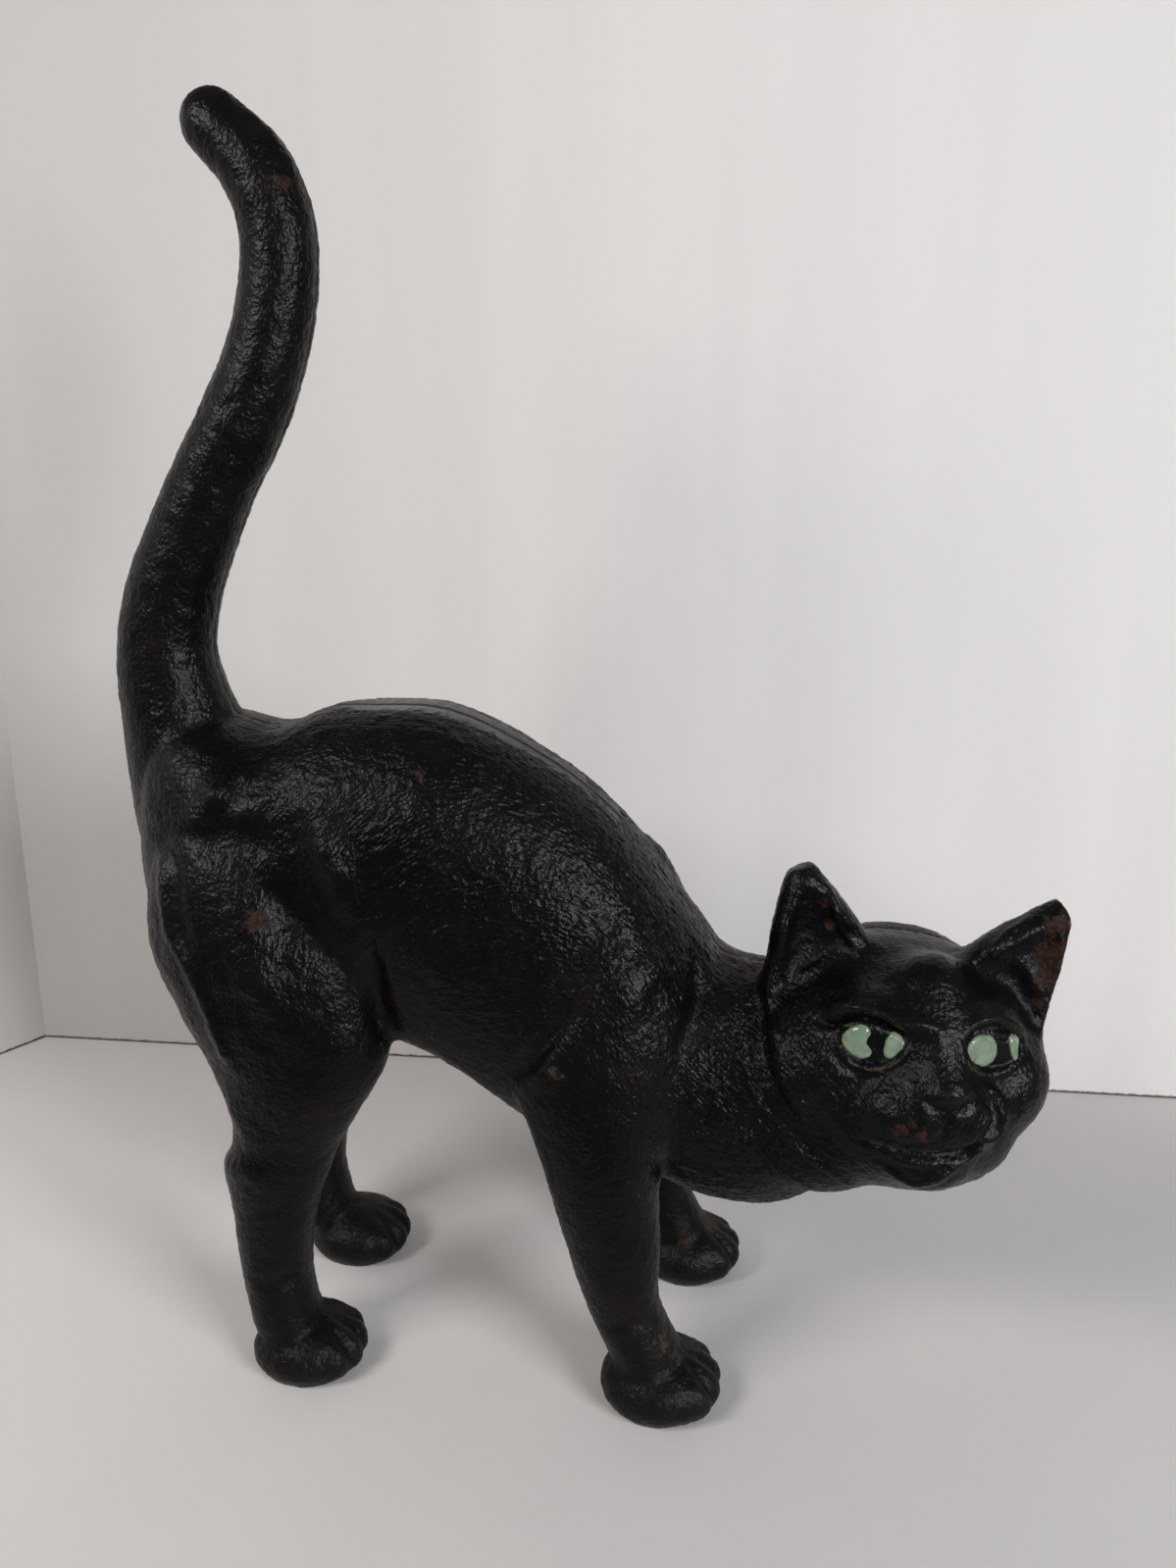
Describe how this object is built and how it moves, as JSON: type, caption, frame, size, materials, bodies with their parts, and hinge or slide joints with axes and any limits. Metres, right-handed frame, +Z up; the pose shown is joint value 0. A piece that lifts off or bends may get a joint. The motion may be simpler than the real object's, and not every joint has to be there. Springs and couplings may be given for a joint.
{
  "type": "cast iron doorstop",
  "caption": "Hollow cast iron doorstop: a standing cat with arched back, raised tail and turned head, cast in two halves held by a slotted screw.",
  "frame": {"origin": "on the floor under the middle of the whole figure's box; the plane where the halves meet is y = 0.0019", "axes": "+X is the way the body faces, +Z is up, and the head is turned to -Y"},
  "size_m": [0.2028, 0.0734, 0.2699],
  "materials": {
    "black_enamel_iron": "worn black enamel over sand cast iron, satin, with specks of rust",
    "screw_steel": "old steel screw, darkened by paint and rust",
    "eye_enamel": "thick pale green gloss enamel, on the eyes of right_half"
  },
  "bodies": {
    "root": {"right_half": "black_enamel_iron", "left_half": "black_enamel_iron", "assembly_screw": "screw_steel"}
  },
  "joints": []
}
